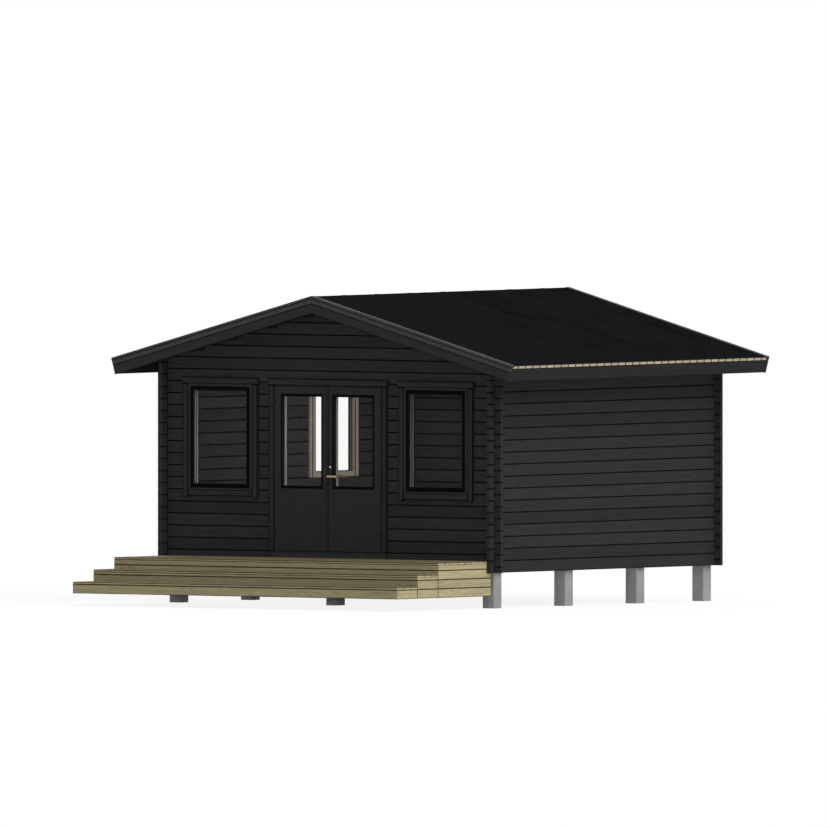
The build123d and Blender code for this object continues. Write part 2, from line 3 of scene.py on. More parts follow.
import bpy
import numpy as np
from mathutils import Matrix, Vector


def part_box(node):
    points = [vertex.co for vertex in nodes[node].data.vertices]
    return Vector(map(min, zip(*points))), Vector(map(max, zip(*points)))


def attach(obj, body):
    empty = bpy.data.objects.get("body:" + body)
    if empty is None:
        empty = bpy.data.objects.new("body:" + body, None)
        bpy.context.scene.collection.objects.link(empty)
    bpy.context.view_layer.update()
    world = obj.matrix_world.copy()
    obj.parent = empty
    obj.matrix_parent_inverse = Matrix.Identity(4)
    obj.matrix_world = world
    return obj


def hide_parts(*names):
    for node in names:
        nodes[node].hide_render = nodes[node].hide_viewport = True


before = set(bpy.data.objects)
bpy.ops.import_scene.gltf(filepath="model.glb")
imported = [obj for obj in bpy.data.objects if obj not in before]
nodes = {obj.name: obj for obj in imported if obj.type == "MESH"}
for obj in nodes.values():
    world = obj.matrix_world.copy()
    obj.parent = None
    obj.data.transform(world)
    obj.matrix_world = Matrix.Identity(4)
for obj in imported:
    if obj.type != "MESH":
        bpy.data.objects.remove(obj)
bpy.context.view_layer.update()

# Camera. The picture is a drawing in parallel projection, seen from 36.4 degrees to the
# right of the front and from 1.5 degrees above, with 89.2 pixels to the metre. All sizes in
# this file are in metres, and the ground is at height 0.
azimuth = math.radians(36.38)
elevation = math.radians(1.478)
across_view = Vector((math.cos(azimuth), math.sin(azimuth), 0))
up_view = Vector((-math.sin(azimuth) * math.sin(elevation),
                  math.cos(azimuth) * math.sin(elevation), math.cos(elevation)))
towards_camera = across_view.cross(up_view)
camera_lens = bpy.data.cameras.new("camera")
camera_lens.type = "ORTHO"
camera_lens.ortho_scale = 828 / 89.2
camera_lens.clip_end = 1000
camera = bpy.data.objects.new("camera", camera_lens)
bpy.context.scene.collection.objects.link(camera)
camera.location = across_view * 0.1327 + up_view * 2.1188 + towards_camera * 110
camera.rotation_euler = towards_camera.to_track_quat("Z", "Y").to_euler()
bpy.context.scene.camera = camera
bpy.context.scene.view_settings.view_transform = "Standard"


# Studio. A wide soft lamp to the right lights the side wall more than the front, two weak
# ones fill the front and the rear, and one lights the room. The floor is a plain pale disc
# that keeps the cabin's shadow.
front_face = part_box("front_sill_log")[0].y  # outer face of the front wall, from front to rear


def add(tree, kind, sockets=None, **settings):
    """Add one shader node, set its settings, and put a value or a link on each socket."""
    node = tree.nodes.new("ShaderNode" + kind)
    for key, value in settings.items():
        setattr(node, key, value)
    for socket, value in (sockets or {}).items():
        if isinstance(value, bpy.types.NodeSocket):
            tree.links.new(value, node.inputs[socket])
        else:
            node.inputs[socket].default_value = value
    return node


def seen_directly(tree):
    """1 on rays that come from the camera, a reflection or clear glass, otherwise 0."""
    rays = add(tree, "LightPath").outputs
    first = add(tree, "Math", {0: rays["Is Camera Ray"], 1: rays["Is Glossy Ray"]},
                operation="MAXIMUM").outputs[0]
    return add(tree, "Math", {0: first, 1: rays["Is Transmission Ray"]},
               operation="MAXIMUM").outputs[0]


def put_in_scene(thing):
    """Link one object to the scene and return it."""
    bpy.context.scene.collection.objects.link(thing)
    return thing


sky = bpy.data.worlds.new("studio")
sky.use_nodes = True
sky.node_tree.nodes.clear()
sky_light = add(sky.node_tree, "Math", {0: seen_directly(sky.node_tree), 1: 0.50, 2: 0.50},
                operation="MULTIPLY_ADD")
sky_colour = add(sky.node_tree, "Background", {"Color": (1, 1, 1, 1),
                                               "Strength": sky_light.outputs[0]})
add(sky.node_tree, "OutputWorld", {"Surface": sky_colour.outputs[0]})
bpy.context.scene.world = sky

sun_light = bpy.data.lights.new("soft_lamp", "SUN")
sun_light.angle = math.radians(50)
sun_light.energy = math.pi * 1.1
sun = put_in_scene(bpy.data.objects.new("soft_lamp", sun_light))
sun.rotation_euler = Vector((0.74, -0.10, 0.67)).to_track_quat("Z", "Y").to_euler()

fill_light = bpy.data.lights.new("front_fill", "SUN")
fill_light.angle = math.radians(3)
fill_light.energy = math.pi * 0.40
front_fill = put_in_scene(bpy.data.objects.new("front_fill", fill_light))
front_fill.rotation_euler = Vector((0.59, -0.80, 0.026)).to_track_quat("Z", "Y").to_euler()

back_light = bpy.data.lights.new("back_fill", "SUN")
back_light.angle = math.radians(40)
back_light.energy = math.pi * 0.35
back_fill = put_in_scene(bpy.data.objects.new("back_fill", back_light))
back_fill.rotation_euler = Vector((-0.62, 0.74, 0.26)).to_track_quat("Z", "Y").to_euler()

room_light = bpy.data.lights.new("room_lamp", "AREA")
room_light.shape = "RECTANGLE"
room_light.size = 2.6
room_light.size_y = 1.7
room_light.energy = 98
room_light.spread = math.radians(118)
room_lamp = put_in_scene(bpy.data.objects.new("room_lamp", room_light))
room_lamp.location = (1.55, front_face + 1.75, 1.75)
room_lamp.rotation_euler = Vector((0.97, -0.24, 0)).to_track_quat("Z", "Y").to_euler()
room_lamp.visible_camera = False
room_lamp.visible_glossy = False

turn = np.linspace(0, 2 * np.pi, 96, endpoint=False)
disc = np.stack([60 * np.cos(turn), 60 * np.sin(turn), np.zeros(96)], axis=1)
floor_mesh = bpy.data.meshes.new("studio_floor")
floor_mesh.from_pydata(disc, [], [range(96)])
studio_floor = put_in_scene(bpy.data.objects.new("studio_floor", floor_mesh))
pale = bpy.data.materials.new("pale_floor")
pale.use_nodes = True
pale.node_tree.nodes.clear()
pale_paint = add(pale.node_tree, "BsdfDiffuse", {"Color": (0.8, 0.8, 0.8, 1)})
pale_glow = add(pale.node_tree, "Emission", {"Color": (1, 1, 1, 1), "Strength": 1.0})
pale_share = add(pale.node_tree, "Math", {0: seen_directly(pale.node_tree), 1: 0.88},
                 operation="MULTIPLY")
pale_mix = add(pale.node_tree, "MixShader", {0: pale_share.outputs[0], 1: pale_paint.outputs[0],
                                             2: pale_glow.outputs[0]})
add(pale.node_tree, "OutputMaterial", {"Surface": pale_mix.outputs[0]})
floor_mesh.materials.append(pale)


# Foundation posts. Square posts of cast concrete, grey with fine pores and a few stains,
# which stand on the ground and carry the bearers.
def new_finish(name):
    """An empty material with one shader; gives the material, its tree and the shader."""
    finish = bpy.data.materials.new(name)
    finish.use_nodes = True
    tree = finish.node_tree
    tree.nodes.clear()
    shader = add(tree, "BsdfPrincipled")
    add(tree, "OutputMaterial", {"Surface": shader.outputs[0]})
    return finish, tree, shader


def give_finish(name, finish):
    """Put one material on every slot of a CAD node."""
    slots = nodes[name].material_slots
    for slot in slots:
        slot.material = finish
    if not slots:
        nodes[name].data.materials.append(finish)


def shades(tree, factor, stops):
    """Colour ramp over a factor; stops is a list of (place, colour)."""
    ramp = add(tree, "ValToRGB", {"Fac": factor})
    while len(ramp.color_ramp.elements) < len(stops):
        ramp.color_ramp.elements.new(0.5)
    for element, (place, colour) in zip(ramp.color_ramp.elements, stops):
        element.position = place
        element.color = (*colour, 1)
    return ramp.outputs["Color"]


concrete, tree, shader = new_finish("cast_concrete")
place = add(tree, "TexCoord").outputs["Object"]
stains = add(tree, "TexNoise", {"Vector": place, "Scale": 5.0, "Detail": 5.0}).outputs[0]
pores = add(tree, "TexNoise", {"Vector": place, "Scale": 160.0, "Detail": 2.0}).outputs[0]
cloudy = add(tree, "Math", {0: pores, 1: 0.45, 2: stains}, operation="MULTIPLY_ADD").outputs[0]
grey = shades(tree, cloudy, [(0.35, (0.115, 0.116, 0.118)), (0.65, (0.155, 0.156, 0.158)),
                             (1.0, (0.205, 0.205, 0.207))])
tree.links.new(grey, shader.inputs["Base Color"])
bump = add(tree, "Bump", {"Height": pores, "Strength": 0.35, "Distance": 0.002})
tree.links.new(bump.outputs[0], shader.inputs["Normal"])
rough = add(tree, "MapRange", {"Value": stains, "To Min": 0.78, "To Max": 0.95})
tree.links.new(rough.outputs[0], shader.inputs["Roughness"])
shader.inputs["Specular IOR Level"].default_value = 0.15
give_finish("foundation_posts", concrete)


# Bearers and joists. Sawn softwood treated against rot, brown green, let in between the walls
# on top of the posts. The same timber makes the terrace.
roof_pitch = math.radians(14.8)


def turned(tree, vector, along):
    """Swap the axes of a vector so that its first one runs along the grain.

    "slope" runs down both slopes of the roof: along is the distance from the ridge plane
    times the cosine of the pitch, less the height times its sine.
    """
    parts = add(tree, "SeparateXYZ", {0: vector}).outputs
    if along == "slope":
        out = add(tree, "Math", {0: parts[0]}, operation="ABSOLUTE").outputs[0]
        run = add(tree, "Math", {0: out, 1: math.cos(roof_pitch)}, operation="MULTIPLY").outputs[0]
        rise = add(tree, "Math", {0: parts[2], 1: -math.sin(roof_pitch), 2: run},
                   operation="MULTIPLY_ADD").outputs[0]
        lean = add(tree, "Math", {0: out, 1: math.sin(roof_pitch)}, operation="MULTIPLY").outputs[0]
        over = add(tree, "Math", {0: parts[2], 1: math.cos(roof_pitch), 2: lean},
                   operation="MULTIPLY_ADD").outputs[0]
        return add(tree, "CombineXYZ", {0: rise, 1: parts[1], 2: over}).outputs[0]
    order = {"x": (0, 1, 2), "y": (1, 0, 2), "z": (2, 0, 1)}[along]
    return add(tree, "CombineXYZ", {0: parts[order[0]], 1: parts[order[1]],
                                    2: parts[order[2]]}).outputs[0]


def joint_shadow(tree, height, start, pitch, line, soft):
    """0 in the joints at start, start + pitch and so on, rising to 1 on the boards' faces.

    The distance to the nearest joint is the height less start, wrapped to half a pitch on
    either side and taken without its sign.
    """
    from_start = add(tree, "Math", {0: height, 1: start}, operation="SUBTRACT").outputs[0]
    wrapped = add(tree, "Math", {0: from_start, 1: pitch / 2, 2: -pitch / 2},
                  operation="WRAP").outputs[0]
    away = add(tree, "Math", {0: wrapped}, operation="ABSOLUTE").outputs[0]
    return add(tree, "MapRange", {"Value": away, "From Min": line, "From Max": soft},
               interpolation_type="SMOOTHSTEP").outputs[0]


def timber(name, dark, light, along="x", joints=None, seams=None, lines=(), inside=None,
           gloss=0.04, figure=0.5, end_colour=None, board_shift=0.12, darkest=0.02, top_shade=1.0,
           arris_shade=0.08):
    """Wood finish: long streaks of grain between a dark and a light colour.

    The grain is noise stretched along the board, and its figure is the contour lines of a
    slower stretched noise. The ends across the grain show rings. joints is (start, pitch) of
    heights: each course between two joints gets its own shade, and the joints are dark. seams
    is (axis, first, pitch) of further dark lines, and lines are single ones, each (axis,
    place, half of its width); the narrow ones skip the faces that look along that axis, and
    the axis "over" is the height over the slope of the roof. The seams and lines are painted
    shade, dark bands where parts meet. inside is (axis, place, dark, light), the colours of
    the side that faces the room. With along set to "board", the piece's own attributes give
    the place along the grain, the board's shade and its arrises, which are darkened as painted
    shade. With "ring" the grain runs along X, and along Y on the faces that look along X, and
    those faces get a lighter copy of the colour as painted light. darkest is how much of its
    lightness a joint keeps, and the last two arguments how much a top in painted shade and an
    arris in painted shade keep.
    """
    finish, tree, shader = new_finish(name)
    coordinates = add(tree, "TexCoord")
    spot = coordinates.outputs["Object"]
    parts = add(tree, "SeparateXYZ", {0: spot}).outputs
    normal = coordinates.outputs["Normal"]
    board = None
    dimming = []

    def darken(factor, low):
        """Dim the colour to low of its lightness where the factor is 0."""
        dimming.append(add(tree, "MapRange", {"Value": factor, "To Min": low,
                                              "To Max": 1.0}).outputs[0])

    if along == "board":
        place = add(tree, "Attribute", attribute_name="grain").outputs["Vector"]
        board = add(tree, "Attribute", attribute_name="board").outputs["Fac"]
        at_end = add(tree, "Attribute", attribute_name="end").outputs["Fac"]
        # Painted shade: the eased arrises, and the edges next to the flat ends, are dimmed into
        # dark lines.
        arris = add(tree, "Attribute", attribute_name="arris").outputs["Fac"]
        away = add(tree, "MapRange", {"Value": arris, "From Min": 0.6, "From Max": 0.1}).outputs[0]
        darken(away, arris_shade)
    elif along == "ring":
        sideways = add(tree, "SeparateXYZ", {0: normal}).outputs[0]
        sideways = add(tree, "Math", {0: sideways}, operation="ABSOLUTE").outputs[0]
        place = add(tree, "Mix", {0: sideways, 4: spot, 5: turned(tree, spot, "y")},
                    data_type="VECTOR").outputs[1]
        at_end = None
    else:
        place = turned(tree, spot, along)
        endwise = add(tree, "SeparateXYZ", {0: turned(tree, normal, along)}).outputs[0]
        endwise = add(tree, "Math", {0: endwise}, operation="ABSOLUTE").outputs[0]
        at_end = add(tree, "MapRange", {"Value": endwise, "From Min": 0.8,
                                        "From Max": 0.85}).outputs[0]
        if along == "slope":
            at_end = None
    rings_place = place
    if joints:
        start, pitch = joints
        level = add(tree, "Math", {0: parts[2], 1: start}, operation="SUBTRACT").outputs[0]
        course = add(tree, "Math", {0: level, 1: pitch}, operation="DIVIDE").outputs[0]
        course = add(tree, "Math", {0: course}, operation="FLOOR").outputs[0]
        board = add(tree, "TexWhiteNoise", {"W": course}, noise_dimensions="1D").outputs["Value"]
        darken(joint_shadow(tree, parts[2], start, pitch, 0.0050, 0.0085), darkest)
    if seams:
        axis, first, pitch = seams
        line = joint_shadow(tree, parts["xyz".index(axis)], first, pitch, 0.004, 0.008)
        if along == "ring":
            elsewhere = add(tree, "Math", {0: 1.0, 1: sideways}, operation="SUBTRACT").outputs[0]
            line = add(tree, "Math", {0: line, 1: elsewhere}, operation="MAXIMUM").outputs[0]
        darken(line, darkest)
    # Painted shade: each line is a dark band along an edge or a gap where parts meet.
    for axis, line_place, half_line in lines:
        source, level = (place, 2) if axis == "over" else (spot, "xyz".index(axis))
        value = add(tree, "SeparateXYZ", {0: source}).outputs[level]
        away = add(tree, "Math", {0: value, 1: line_place}, operation="SUBTRACT").outputs[0]
        away = add(tree, "Math", {0: away}, operation="ABSOLUTE").outputs[0]
        line = add(tree, "MapRange", {"Value": away, "From Min": half_line - 0.002,
                                      "From Max": half_line + 0.002},
                   interpolation_type="SMOOTHSTEP").outputs[0]
        if axis == "over" and along == "board":
            not_end = add(tree, "Math", {0: 1.0, 1: at_end}, operation="SUBTRACT").outputs[0]
            line = add(tree, "Math", {0: line, 1: not_end}, operation="MAXIMUM").outputs[0]
        elif axis != "over" and half_line < 0.015:
            flat_on = add(tree, "SeparateXYZ", {0: normal}).outputs[level]
            flat_on = add(tree, "Math", {0: flat_on}, operation="ABSOLUTE").outputs[0]
            flat_on = add(tree, "Math", {0: flat_on, 1: 0.5}, operation="GREATER_THAN").outputs[0]
            line = add(tree, "Math", {0: line, 1: flat_on}, operation="MAXIMUM").outputs[0]
        darken(line, 0.12)
    # Painted shade: faces that look up are dimmed, a darker top standing for less light on it.
    if top_shade < 1.0:
        upward = add(tree, "SeparateXYZ", {0: normal}).outputs[2]
        upward = add(tree, "MapRange", {"Value": upward, "From Min": 0.95,
                                        "From Max": 0.6}).outputs[0]
        darken(upward, top_shade)
    if board is not None:
        jump = add(tree, "VectorMath", {0: (7.3, 3.1, 5.7), "Scale": board}, operation="SCALE")
        place = add(tree, "VectorMath", {0: place, 1: jump.outputs[0]}, operation="ADD").outputs[0]
        dimming.append(add(tree, "MapRange", {"Value": board, "To Min": 1 - board_shift,
                                              "To Max": 1 + board_shift}).outputs[0])
    stretched = add(tree, "Mapping", {"Vector": place, "Scale": (1.0, 22.0, 22.0)}).outputs[0]
    streaks = add(tree, "TexNoise", {"Vector": stretched, "Scale": 2.2, "Detail": 6.0,
                                     "Roughness": 0.62}).outputs[0]
    slower = add(tree, "Mapping", {"Vector": place, "Scale": (0.55, 7.0, 7.0)}).outputs[0]
    waves = add(tree, "TexNoise", {"Vector": slower, "Scale": 1.5, "Detail": 1.0}).outputs[0]
    contours = add(tree, "Math", {0: waves, 1: 15.0}, operation="MULTIPLY").outputs[0]
    contours = add(tree, "Math", {0: contours, 1: 0.5}, operation="PINGPONG").outputs[0]
    contours = add(tree, "Math", {0: contours, 1: figure}, operation="MULTIPLY").outputs[0]
    grain = add(tree, "Math", {0: streaks, 1: 1.0 - 0.4 * figure, 2: contours},
                operation="MULTIPLY_ADD").outputs[0]
    colour = shades(tree, grain, [(0.3, dark), (0.8, light)])
    # Painted light: faces that look along X get a copy of the colour 1.35 times lighter.
    if along == "ring":
        painted_lit_sides = shades(tree, grain, [(0.3, [1.35 * c for c in dark]),
                                      (0.8, [1.35 * c for c in light])])
        colour = add(tree, "Mix", {0: sideways, 6: colour, 7: painted_lit_sides}, data_type="RGBA").outputs[2]
    if inside:
        axis, from_here, inner_dark, inner_light = inside
        beyond = add(tree, "Math", {0: parts["xyz".index(axis)], 1: from_here},
                     operation="GREATER_THAN").outputs[0]
        inner = shades(tree, grain, [(0.3, inner_dark), (0.8, inner_light)])
        colour = add(tree, "Mix", {0: beyond, 6: colour, 7: inner}, data_type="RGBA").outputs[2]
    if at_end is not None:
        rings_place = add(tree, "Mapping", {"Vector": rings_place, "Scale": (0.1, 1.0, 1.0),
                                            "Location": (0.0, 0.03, 0.05)}).outputs[0]
        rings = add(tree, "TexWave", {"Vector": rings_place, "Scale": 42.0, "Distortion": 3.0,
                                      "Detail": 2.0, "Detail Scale": 0.6}, wave_type="RINGS",
                    rings_direction="X").outputs["Fac"]
        ends = end_colour or light
        ring_colour = shades(tree, rings, [(0.0, [0.75 * c for c in ends]), (1.0, ends)])
        colour = add(tree, "Mix", {0: at_end, 6: colour, 7: ring_colour},
                     data_type="RGBA").outputs[2]
    for factor in dimming:
        colour = add(tree, "VectorMath", {0: colour, "Scale": factor}, operation="SCALE").outputs[0]
    tree.links.new(colour, shader.inputs["Base Color"])
    rough = add(tree, "MapRange", {"Value": grain, "To Min": 0.85, "To Max": 0.6}).outputs[0]
    tree.links.new(rough, shader.inputs["Roughness"])
    bump = add(tree, "Bump", {"Height": grain, "Strength": 0.6, "Distance": 0.0012})
    tree.links.new(bump.outputs[0], shader.inputs["Normal"])
    shader.inputs["Specular IOR Level"].default_value = gloss
    return finish


give_finish("floor_joists", timber("treated_joists", (0.17, 0.15, 0.08), (0.30, 0.27, 0.16), "x",
                                   end_colour=(0.26, 0.23, 0.13)))


# Floor boards. Planed softwood boards side by side across the joists, each 120 mm wide with
# its arrises eased, in place of the plain slab between the walls.
def boxes_of(node):
    """Low and high corners of each solid of a CAD node, as an array (solids, 2, 3).

    Points in the same place are one point. Each point takes the lowest number among the
    points that share a triangle with it, again and again, until each solid has one number.
    """
    mesh = nodes[node].data
    points = np.empty(len(mesh.vertices) * 3)
    mesh.vertices.foreach_get("co", points)
    points = points.reshape(-1, 3)
    corners = np.empty(len(mesh.loops), int)
    mesh.loops.foreach_get("vertex_index", corners)
    _, same = np.unique(np.round(points * 1e5).astype(np.int64), axis=0, return_inverse=True)
    triangles = same.reshape(-1)[corners].reshape(-1, 3)
    number = np.arange(triangles.max() + 1)
    while True:
        lowest = number[triangles].min(axis=1)
        before = number.copy()
        np.minimum.at(number, triangles, lowest[:, None])
        if (number == before).all():
            break
    of_point = number[same.reshape(-1)]
    found = np.unique(of_point)
    return np.array([[points[of_point == n].min(axis=0), points[of_point == n].max(axis=0)]
                     for n in found])


def make_mesh(name, points, faces, attributes=None, smooth=False):
    """Mesh object from arrays; attributes is a dict of name to one value or vector per point."""
    mesh = bpy.data.meshes.new(name)
    mesh.from_pydata(points.reshape(-1, 3), [], faces)
    for key, values in (attributes or {}).items():
        kind = "FLOAT_VECTOR" if values.ndim > 1 and values.shape[-1] == 3 else "FLOAT"
        stored = mesh.attributes.new(key, kind, "POINT")
        stored.data.foreach_set("vector" if kind == "FLOAT_VECTOR" else "value",
                                values.astype(np.float32).ravel())
    mesh.polygons.foreach_set("use_smooth", np.full(len(mesh.polygons), smooth))
    mesh.update()
    return put_in_scene(bpy.data.objects.new(name, mesh))


def carried_boards(sections, on_arris, start, end, ease, inset, seed, end_arris=1):
    """Solid boards: each section carried along its own length from start to end.

    sections is (boards, points, 2), counter-clockwise as seen from the far end. Close to both
    ends the section is drawn in towards its middle: by ease over the last bit of length, and
    by inset more within the flat end, which closes the board. Gives local points (boards,
    stations, points, 3) as along, across and thickness, the faces, and the attributes grain,
    board (one chance value for each board), arris (1 on eased edges) and end.
    """
    count, around = sections.shape[:2]
    lowest, highest = sections.min(axis=1), sections.max(axis=1)
    middle, half = (lowest + highest) / 2, (highest - lowest) / 2
    inward = np.array([0, 0, ease, ease + inset] + [ease + inset, ease, 0, 0])
    shrink = np.array([ease + inset, ease, 0, 0] + [0, 0, ease, ease + inset])
    at_arris = np.array([0, 1, 1, 0, 0, 1, 1, 0]) * end_arris
    stations = len(inward)
    along = np.where(np.arange(stations) < 4, start[:, None] + inward, end[:, None] - inward)
    scale = 1 - shrink[None, :, None, None] / half[:, None, None, :]
    ring = middle[:, None, None, :] + (sections - middle[:, None, :])[:, None] * scale
    local = np.concatenate([np.broadcast_to(along[:, :, None, None], (count, stations, around, 1)),
                            ring], axis=3)
    arris = np.maximum(on_arris[None, None, :], at_arris[None, :, None]) * np.ones((count, 1, 1))
    arris[:, [0, -1], :] = 0
    chance = np.random.default_rng(seed).random(count)
    shade = chance[:, None, None] * np.ones((1, stations, around))
    at_end = np.zeros((count, stations, around))
    at_end[:, [0, 1, -2, -1], :] = 1
    index = np.arange(count * stations * around).reshape(count, stations, around)
    beside = np.roll(index, -1, axis=2)
    sides = np.stack([index[:, :-1], beside[:, :-1], beside[:, 1:], index[:, 1:]], axis=3)
    faces = sides.reshape(-1, 4).tolist() + index[:, 0, ::-1].tolist() + index[:, -1].tolist()
    return local, faces, {"grain": local.reshape(-1, 3), "board": shade.ravel(),
                          "arris": arris.ravel(), "end": at_end.ravel()}


def eased_rectangle(half, radius, arris_width):
    """Rectangle sections with quarter circles at the corners, (boards, 20, 2).

    Each corner is a flat point, three points of the quarter circle and another flat point,
    turned by 90 degrees from corner to corner. Also gives 1 for points on a quarter circle.
    """
    turn = np.radians([0, 45, 90])
    corner = np.vstack([[1, -arris_width / radius], np.stack([np.cos(turn), np.sin(turn)], axis=1),
                        [-arris_width / radius, 1]]) * radius
    quarter_turns = np.array([[[1, 0], [0, 1]], [[0, 1], [-1, 0]],
                              [[-1, 0], [0, -1]], [[0, -1], [1, 0]]])
    signs = np.array([[1, 1], [-1, 1], [-1, -1], [1, -1]])
    eased = (corner @ quarter_turns).reshape(-1, 2)
    section = np.repeat(signs, 5, axis=0) * (half[:, None, :] - radius) + eased
    return section, np.tile([0, 1, 1, 1, 0], 4)


def rounded_boards(name, boxes, radius, seed, arris_width=0.004, end_arris=1):
    """Boards with eased arrises, one for each box, carried along the box's longest side."""
    boxes = np.asarray(boxes, float)
    size = boxes[:, 1] - boxes[:, 0]
    order = (size.argmax(axis=1)[:, None] + np.arange(3)) % 3
    half = np.take_along_axis(size, order, axis=1) / 2
    sections, on_arris = eased_rectangle(half[:, 1:], radius, arris_width)
    local, faces, attributes = carried_boards(sections, on_arris, -half[:, 0], half[:, 0],
                                              0.7 * radius, arris_width, seed, end_arris)
    points = np.empty_like(local)
    np.put_along_axis(points, np.broadcast_to(order[:, None, None, :], local.shape).copy(),
                      local, axis=3)
    points += boxes.mean(axis=1)[:, None, None, :]
    return make_mesh(name, points, faces, attributes)


def dress(piece, finish, replaced=None, body="cabin"):
    """Give a piece its material and slot, say what it replaces and let it ride on its body."""
    piece.data.materials.append(finish)
    if replaced:
        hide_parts(*replaced)
    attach(piece, body)
    return piece


low, high = boxes_of("floor_boards")[0]
board_count = round((high[1] - low[1]) / 0.12)
edges = np.linspace(low[1], high[1], board_count + 1)
strips = np.array([[[low[0], y0, low[2]], [high[0], y1 - 0.0008, high[2]]]
                   for y0, y1 in zip(edges, edges[1:])])
room_boards = rounded_boards("room_floor_boards", strips, 0.0025, 3)
planed = timber("planed_pine", (0.27, 0.19, 0.10), (0.40, 0.30, 0.18), "board", gloss=0.04)
dress(room_boards, planed, ["floor_boards"])


# Log walls. Planed softwood logs, 45 by 135 mm, notched into each other at the corners and
# stained black outside and in. The joints lie half a course higher on the front and rear.
black_dark, black_light = (0.0126, 0.0126, 0.0126), (0.0195, 0.0195, 0.0194)
log_cover = 0.135
line_width = 0.011
corner_lines_x = (-2.386, -2.255, 2.255, 2.386)
corner_lines_y = (-0.086, 0, 4.2, 4.286)
# The lines at the corners are painted shade where the ends of the crossing logs meet the walls.
cross_logs = timber("stained_cross_logs", black_dark, black_light, "x", joints=(0.4675, log_cover),
                    lines=[("x", x, line_width / 2) for x in corner_lines_x])
side_logs = timber("stained_side_logs", black_dark, black_light, "y", joints=(0.4, log_cover),
                   lines=[("y", front_face + y, line_width / 2) for y in corner_lines_y])
for name in ("front_sill_log", "front_wall_left_logs", "front_wall_right_logs", "front_gable_logs",
             "rear_wall_logs", "rear_gable_logs"):
    give_finish(name, cross_logs)
for name in ("left_wall_logs", "right_wall_logs", "roof_purlins"):
    give_finish(name, side_logs)


# Roof boards. Bare softwood boards, 45 mm thick and 135 mm wide, laid side by side down each
# slope on the walls and purlins, with a V joint below. Their sawn ends show along the eaves.
ridge_top = 3.4789
eave_reach = 2.785
slope_run = eave_reach / math.cos(roof_pitch)
board_cover = 0.135
board_gap = 0.0012
verge_front, verge_rear = -0.3087, 4.5087
cap_front, cap_rear = -0.2787, 4.4787


def onto_slope(local, ridge_cut=0.00015):
    """Points given as down the slope, front to rear and height over the roof, in the frame.

    The distance from the ridge plane is the way down times the cosine of the pitch, plus the
    height over the roof times its sine. The drop from the ridge is the way down times the
    sine, less that height times the cosine. The upper ends are cut upright at the ridge.
    """
    down, along, height = local[..., 0].copy(), local[..., 1], local[..., 2]
    upright = (ridge_cut - height * math.sin(roof_pitch)) / math.cos(roof_pitch)
    down[:, :4] += upright[:, :4]
    return np.stack([down * math.cos(roof_pitch) + height * math.sin(roof_pitch),
                     front_face + along,
                     ridge_top - down * math.sin(roof_pitch) + height * math.cos(roof_pitch)],
                    axis=-1)


first_joint = -0.329
board_count = 36
board_joints = first_joint + board_cover * np.arange(board_count + 1)
board_low = np.maximum(board_joints[:-1], verge_front) + board_gap / 2
board_high = np.minimum(board_joints[1:], verge_rear) - board_gap / 2
top, bottom, bevel, lap = -0.0065, -0.051, 0.005, 0.0305


def roof_board_sections(low, high, step_low, step_high):
    """Sections (boards, 10, 2) across the slope: V edges below, and a step at each top corner.

    step_low and step_high say how far in from each side the top is cut down for the verge
    cap; where nothing is cut, the step is a small eased corner instead.
    """
    flat = np.zeros_like(low)
    cut_low = np.where(step_low > 0, step_low, 0.002)
    cut_high = np.where(step_high > 0, step_high, 0.002)
    down_low = np.where(step_low > 0, -lap, top - 0.002)
    down_high = np.where(step_high > 0, -lap, top - 0.002)
    across = [high - bevel, high, high, high - cut_high * 0.98, high - cut_high, low + cut_low,
              low + cut_low * 0.98, low, low, low + bevel]
    height = [flat + bottom, flat + bottom + bevel, down_high, down_high + 1e-4, flat + top,
              flat + top, down_low + 1e-4, down_low, flat + bottom + bevel, flat + bottom]
    return np.stack([np.stack(across, axis=1), np.stack(height, axis=1)], axis=2)


number = np.arange(board_count)
step_low = np.where(number == 0, cap_front - board_low, 0.0)
step_high = np.where(number == board_count - 1, board_high - cap_rear, 0.0)
sections = roof_board_sections(board_low, board_high, step_low, step_high)
no_arris = np.array([0, 0.6, 0.6, 0, 0, 0, 0, 0.6, 0.6, 0])
local, faces, attributes = carried_boards(sections, no_arris, np.zeros(board_count),
                                          np.full(board_count, slope_run), 0.001, 0.011, 11)
right_points = onto_slope(local)
# The seams at the board joints and the line along the foot of the sawn ends are painted shade.
bare = timber("bare_softwood", (0.27, 0.235, 0.15), (0.40, 0.355, 0.235), "board", gloss=0.05,
              seams=("y", front_face + first_joint, board_cover), lines=[("over", -0.0475, 0.0065)],
              end_colour=(0.300, 0.270, 0.188), board_shift=0.12, darkest=0.1)
for side, sign in (("right", 1), ("left", -1)):
    turned_faces = faces if sign == 1 else [face[::-1] for face in faces]
    boards = make_mesh(f"roof_boarding_{side}", right_points * (sign, 1, 1), turned_faces,
                       attributes)
    dress(boards, bare, [f"roof_boards_{side}"])


# Verge boards and fascias. Planed softwood under an opaque stain: a dark grey cap and upper
# board along each verge, a black bargeboard below them, and a black fascia along each eave.
roof_surface = ridge_top * math.cos(roof_pitch)
under_cap, under_batten, under_barge = (roof_surface - depth for depth in (0.030, 0.085, 0.190))
